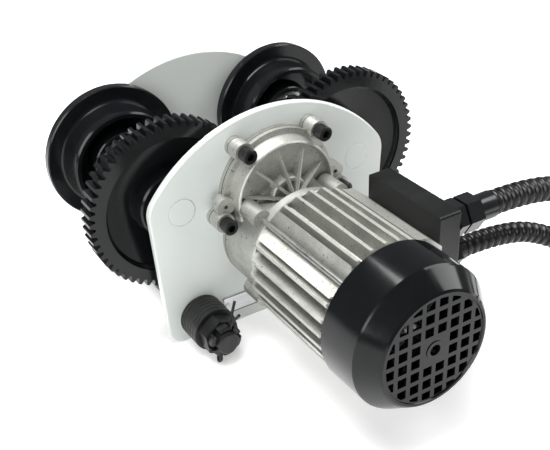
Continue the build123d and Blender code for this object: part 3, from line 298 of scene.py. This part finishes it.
FINISHES = {
    "plate_white": finish(
        "powder_coat_white",
        COAT_SKIN,
        bump=0.12,
        shader={"Coat Weight": 0.15, "Coat Roughness": 0.25},
        Colour=(0.64, 0.68, 0.655, 1),
        Dust=(0.54, 0.57, 0.55, 1),
        Dust_Share=0.22,
        Peel=420.0,
        Smoothest=0.32,
        Roughest=0.46,
    ),
    "wheel_black": finish(
        "gloss_black_enamel",
        COAT_SKIN,
        bump=0.22,
        bump_depth=0.0003,
        shader={"Coat Weight": 0.08, "Coat Roughness": 0.10, "Specular IOR Level": 0.25},
        Colour=grey(0.005, 0.14),
        Dust=grey(0.05),
        Dust_Share=0.10,
        Peel=240.0,
        Smoothest=0.14,
        Roughest=0.24,
    ),
    "cast_aluminium": finish(
        "cast_aluminium",
        CAST_SKIN,
        bump=0.45,
        bump_depth=0.0004,
        shader=METAL,
        Bright=(0.62, 0.625, 0.59, 1),
        Dull=(0.36, 0.36, 0.335, 1),
        Grain=1100.0,
        Smoothest=0.42,
        Roughest=0.62,
    ),
    "gasket": finish(
        "gasket_fibre",
        COAT_SKIN,
        bump=0.3,
        Colour=grey(0.05),
        Dust=grey(0.2),
        Dust_Share=0.5,
        Peel=1500.0,
        Smoothest=0.6,
        Roughest=0.85,
    ),
    "data_plate": finish(
        "anodised_data_plate",
        DRAWN_METAL,
        stretch=(60, 900, 2600),
        bump=0.05,
        shader=METAL,
        Light=(0.80, 0.81, 0.82, 1),
        Dark=(0.62, 0.63, 0.64, 1),
        Smoothest=0.28,
        Roughest=0.42,
    ),
    "bright_steel": finish(
        "zinc_plated_steel",
        DRAWN_METAL,
        stretch=(700, 90, 700),
        bump=0.12,
        shader=METAL,
        Light=(0.62, 0.62, 0.60, 1),
        Dark=(0.34, 0.34, 0.33, 1),
        Smoothest=0.22,
        Roughest=0.42,
    ),
    "bearing_steel": finish(
        "ground_bearing_steel",
        DRAWN_METAL,
        stretch=(1500, 300, 1500),
        bump=0.03,
        shader=METAL,
        Light=grey(0.72, 0.02),
        Dark=grey(0.55, 0.02),
        Smoothest=0.10,
        Roughest=0.22,
    ),
    "dark_steel": finish(
        "blackened_washer_steel",
        COAT_SKIN,
        bump=0.25,
        shader={"Specular IOR Level": 0.35},
        Colour=grey(0.008, 0.04),
        Dust=(0.035, 0.032, 0.030, 1),
        Dust_Share=0.5,
        Peel=900.0,
        Smoothest=0.30,
        Roughest=0.52,
    ),
    "black_screws": finish(
        "black_oxide_screws",
        COAT_SKIN,
        bump=0.2,
        shader={"Specular IOR Level": 0.35},
        Colour=grey(0.006, 0.05),
        Dust=grey(0.05),
        Dust_Share=0.18,
        Peel=1400.0,
        Smoothest=0.24,
        Roughest=0.4,
    ),
    "lamination": finish(
        "stacked_lamination",
        DRAWN_METAL,
        stretch=(60, 2600, 60),
        bump=0.5,
        shader=METAL,
        Light=grey(0.36, 0.03),
        Dark=grey(0.16, 0.03),
        Smoothest=0.35,
        Roughest=0.6,
    ),
    "rotor_alloy": finish(
        "turned_rotor_alloy",
        DRAWN_METAL,
        stretch=(80, 1800, 80),
        bump=0.15,
        shader=METAL,
        Light=grey(0.62),
        Dark=grey(0.4),
        Smoothest=0.28,
        Roughest=0.45,
    ),
    "copper": finish(
        "enamelled_copper",
        DRAWN_METAL,
        stretch=(900, 900, 240),
        bump=0.6,
        shader={"Metallic": 1.0, "Coat Weight": 0.5, "Coat Roughness": 0.2},
        Light=(0.75, 0.33, 0.14, 1),
        Dark=(0.34, 0.12, 0.05, 1),
        Smoothest=0.25,
        Roughest=0.4,
    ),
    "seal_rubber": finish(
        "seal_rubber",
        COAT_SKIN,
        bump=0.2,
        Colour=grey(0.025),
        Dust=grey(0.1),
        Dust_Share=0.3,
        Peel=1200.0,
        Smoothest=0.5,
        Roughest=0.7,
    ),
    "fan_plastic": finish(
        "fan_plastic",
        COAT_SKIN,
        bump=0.1,
        Colour=grey(0.02),
        Dust=grey(0.14),
        Dust_Share=0.3,
        Peel=900.0,
        Smoothest=0.4,
        Roughest=0.55,
    ),
    "black_gloss": finish(
        "gloss_black_plastic",
        COAT_SKIN,
        bump=0.05,
        shader={"Coat Weight": 0.05, "Coat Roughness": 0.06, "Specular IOR Level": 0.22},
        Colour=grey(0.004, 0.14),
        Dust=grey(0.05, 0.02),
        Dust_Share=0.06,
        Peel=160.0,
        Smoothest=0.10,
        Roughest=0.20,
    ),
    "black_matte": finish(
        "terminal_box_plastic",
        COAT_SKIN,
        bump=0.12,
        shader={"Specular IOR Level": 0.35},
        Colour=grey(0.005, 0.08),
        Dust=grey(0.04, 0.04),
        Dust_Share=0.12,
        Peel=700.0,
        Smoothest=0.26,
        Roughest=0.40,
    ),
    "gland_black": finish(
        "gland_nylon",
        COAT_SKIN,
        bump=0.1,
        shader={"Coat Weight": 0.15, "Coat Roughness": 0.15, "Specular IOR Level": 0.4},
        Colour=grey(0.006, 0.12),
        Dust=grey(0.05, 0.06),
        Dust_Share=0.12,
        Peel=500.0,
        Smoothest=0.18,
        Roughest=0.30,
    ),
    "conduit_black": finish(
        "conduit_nylon",
        COAT_SKIN,
        bump=0.08,
        shader={"Specular IOR Level": 0.4},
        Colour=grey(0.005, 0.06),
        Dust=grey(0.05, 0.03),
        Dust_Share=0.16,
        Peel=600.0,
        Smoothest=0.24,
        Roughest=0.38,
    ),
}


def paint(piece, slot):
    piece.data.materials.clear()
    piece.data.materials.append(FINISHES[slot])


def paint_frame():
    """Every CAD node gets the finish of its slot, in each of its material places."""
    for entry in frame["record"]["subparts"]:
        node = NODES[entry["node"]]
        for place in node.material_slots:
            place.material = FINISHES[entry["material_slot"]]


# ------------------------------------------------------------------ conduits
# The routes' points, gland collar first.
UPPER_ROUTE = [
    (119, -221, 53.5),
    (172, -221, 53.5),
    (225.5, -233.5, 34.5),
    (266, -266, 2),
    (286, -316, -33),
    (287, -376, -60),
    (270, -438, -68),
    (238, -492, -65),
]
LOWER_ROUTE = [
    (104, -207, 10),
    (155, -207, 10),
    (204.5, -216, -9),
    (241, -245.5, -37.5),
    (257.5, -292, -60),
    (254.5, -342.5, -68),
    (233, -388, -67.5),
]
# One ring of the corrugation: share of the pitch, share of the outer radius.
RING_PROFILE = (
    (0.0, 0.77),
    (0.06, 0.80),
    (0.14, 0.93),
    (0.22, 0.985),
    (0.42, 1.0),
    (0.62, 0.985),
    (0.70, 0.93),
    (0.78, 0.80),
    (0.84, 0.77),
)
RING_SIDES = 32


def centre_line(name, route):
    """Points of the route's smooth curve, close together, in order."""
    data = bpy.data.curves.new(name, "CURVE")
    data.dimensions = "3D"
    data.resolution_u = 40
    spline = data.splines.new("NURBS")
    spline.points.add(len(route) - 1)
    for point, place in zip(spline.points, route):
        point.co = (*(Vector(place) * MM), 1)
    spline.order_u = 3
    spline.use_endpoint_u = True
    curve = bpy.data.objects.new(name, data)
    line = bpy.data.meshes.new_from_object(curve)
    points = [v.co.copy() for v in line.vertices]
    bpy.data.objects.remove(curve)
    bpy.data.curves.remove(data)
    bpy.data.meshes.remove(line)
    return points


def along(points, distance):
    """The place and direction at this distance along the points."""
    for a, b in zip(points, points[1:]):
        step = (b - a).length
        if distance <= step or b is points[-1]:
            return a + (b - a) * (distance / step), (b - a).normalized()
        distance -= step


def corrugated_tube(name, route, radius, pitch):
    """A ringed tube along the route, made by extruding one circle from place to place."""
    points = centre_line(name, route)
    length = sum((b - a).length for a, b in zip(points, points[1:]))
    count = round(length / pitch)
    pitch = length / count
    stations = [((k + share) * pitch, size) for k in range(count) for share, size in RING_PROFILE]
    shape = bmesh.new()
    place, heading = along(points, 0)
    turn = heading.to_track_quat("Z", "Y")
    bmesh.ops.create_circle(
        shape,
        cap_ends=True,
        segments=RING_SIDES,
        radius=radius * RING_PROFILE[0][1],
        matrix=Matrix.Translation(place) @ turn.to_matrix().to_4x4(),
    )
    rim = list(shape.edges)
    last_place, last_heading, last_size = place, heading, RING_PROFILE[0][1]
    for distance, size in stations[1:] + [(length, RING_PROFILE[0][1])]:
        place, heading = along(points, distance)
        grown = bmesh.ops.extrude_edge_only(shape, edges=rim)["geom"]
        ring = [g for g in grown if isinstance(g, bmesh.types.BMVert)]
        rim = [g for g in grown if isinstance(g, bmesh.types.BMEdge)]
        bend = last_heading.rotation_difference(heading).to_matrix().to_4x4()
        scale = Matrix.Scale(size / last_size, 4)
        move = Matrix.Translation(place) @ bend @ scale @ Matrix.Translation(-last_place)
        bmesh.ops.transform(shape, matrix=move, verts=ring)
        last_place, last_heading, last_size = place, heading, size
    bmesh.ops.contextual_create(shape, geom=rim)
    bmesh.ops.recalc_face_normals(shape, faces=shape.faces)
    for face in shape.faces:
        face.smooth = True
    mesh = bpy.data.meshes.new(name)
    shape.to_mesh(mesh)
    shape.free()
    tube = bpy.data.objects.new(name, mesh)
    bpy.context.scene.collection.objects.link(tube)
    return tube, points


def make_conduit(name, route, diameter, pitch):
    """The ringed conduit that stands for a CAD bar."""
    tube, points = corrugated_tube(f"{name}_corrugated", route, diameter / 2, pitch)
    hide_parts(name)
    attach(tube, FRAME_BODY)
    paint(tube, "conduit_black")


# ------------------------------------------------------------------ painted axle ends
CAP_R = 11.9
CAP_T = 0.25
CAP_SIDES = 64


def new_piece(name, shape, slot):
    """A piece on the frame body, made from this shape and painted for this slot."""
    mesh = bpy.data.meshes.new(name)
    shape.to_mesh(mesh)
    shape.free()
    piece = bpy.data.objects.new(name, mesh)
    bpy.context.scene.collection.objects.link(piece)
    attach(piece, FRAME_BODY)
    paint(piece, slot)


def make_axle_caps():
    """The coat over each axle end, flush with its side plate: way is outward along Y."""
    for plate, corner, way in (("drive", 0, -1), ("idler", 1, 1)):
        face_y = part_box(f"{plate}_side_plate")[corner].y
        for side in ("left", "right"):
            low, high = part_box(f"{plate}_axle_{side}")
            middle = (low + high) / 2
            middle.y = face_y + way * CAP_T * MM / 2
            shape = bmesh.new()
            bmesh.ops.create_cone(
                shape,
                cap_ends=True,
                segments=CAP_SIDES,
                radius1=CAP_R * MM,
                radius2=(CAP_R - CAP_T) * MM,
                depth=CAP_T * MM,
                matrix=Matrix.Translation(middle) @ Matrix.Rotation(radians(-90 * way), 4, "X"),
            )
            new_piece(f"{plate}_axle_cap_{side}", shape, "plate_white")


# ------------------------------------------------------------------ printed frame
LABEL_INSET = 0.8
LINE_W = 0.8
INK_T = 0.1


def make_label_frame():
    """A plain dark line just inside the data plate's edge; the field stays empty."""
    low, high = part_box("data_plate")
    centre = (low + high) / 2
    centre.y = low.y - INK_T * MM / 2
    half_x = (high.x - low.x) / 2 - LABEL_INSET * MM
    half_z = (high.z - low.z) / 2 - LABEL_INSET * MM
    line = LINE_W * MM
    shape = bmesh.new()
    for x, z, long_x, long_z in (
        (0, half_z, 2 * half_x, line),
        (0, -half_z, 2 * half_x, line),
        (half_x, 0, line, 2 * half_z - line),
        (-half_x, 0, line, 2 * half_z - line),
    ):
        place = Matrix.Translation(centre + Vector((x, 0, z)))
        size = Matrix.Diagonal((long_x, INK_T * MM, long_z, 1))
        bmesh.ops.create_cube(shape, size=1, matrix=place @ size)
    new_piece("data_plate_printed_frame", shape, "black_matte")


# ------------------------------------------------------------------ studio
def new_stage_piece(name, mesh):
    piece = bpy.data.objects.new(name, mesh)
    bpy.context.scene.collection.objects.link(piece)
    return piece


def make_floor():
    shape = bmesh.new()
    bmesh.ops.create_grid(shape, x_segments=1, y_segments=1, size=6)
    bmesh.ops.translate(shape, verts=shape.verts, vec=(0, 0, FLOOR_Z))
    mesh = bpy.data.meshes.new("studio_floor")
    shape.to_mesh(mesh)
    shape.free()
    floor = new_stage_piece("studio_floor", mesh)
    material = bpy.data.materials.new("pale_floor")
    material.use_nodes = True
    surface = material.node_tree.nodes["Principled BSDF"]
    surface.inputs["Base Color"].default_value = (0.9, 0.9, 0.9, 1)
    surface.inputs["Roughness"].default_value = 0.9
    surface.inputs["Specular IOR Level"].default_value = 0.1
    surface.inputs["Emission Color"].default_value = (1, 1, 1, 1)
    surface.inputs["Emission Strength"].default_value = 0.35
    floor.data.materials.append(material)


def soft_light(name, place, aim, size, power):
    """A square softbox at this place, turned to its aim."""
    data = bpy.data.lights.new(name, "AREA")
    data.shape = "RECTANGLE"
    data.size, data.size_y = size
    data.energy = power
    light = bpy.data.objects.new(name, data)
    bpy.context.scene.collection.objects.link(light)
    heading = Vector(aim) - Vector(place)
    light.matrix_world = (
        Matrix.Translation(place) @ heading.to_track_quat("-Z", "Y").to_matrix().to_4x4()
    )


def make_studio():
    make_floor()
    world = bpy.data.worlds.new("studio_world")
    world.use_nodes = True
    world.node_tree.nodes["Background"].inputs["Color"].default_value = (1, 1, 1, 1)
    world.node_tree.nodes["Background"].inputs["Strength"].default_value = 0.25
    bpy.context.scene.world = world
    bpy.context.scene.view_settings.view_transform = "Standard"
    aim = (0, -0.12, 0)
    soft_light("top_softbox", (-0.15, 0.1, 1.3), aim, (1.1, 0.8), 32)
    soft_light("left_softbox", (-1.2, -0.7, 0.7), aim, (0.5, 1.0), 10)
    soft_light("right_softbox", (1.1, -0.5, 0.8), aim, (0.5, 1.0), 9)


place_camera()
make_conduit("upper_conduit", UPPER_ROUTE, 0.0212, 0.0084)
make_conduit("lower_conduit", LOWER_ROUTE, 0.0185, 0.0078)
make_axle_caps()
make_label_frame()
paint_frame()
make_studio()
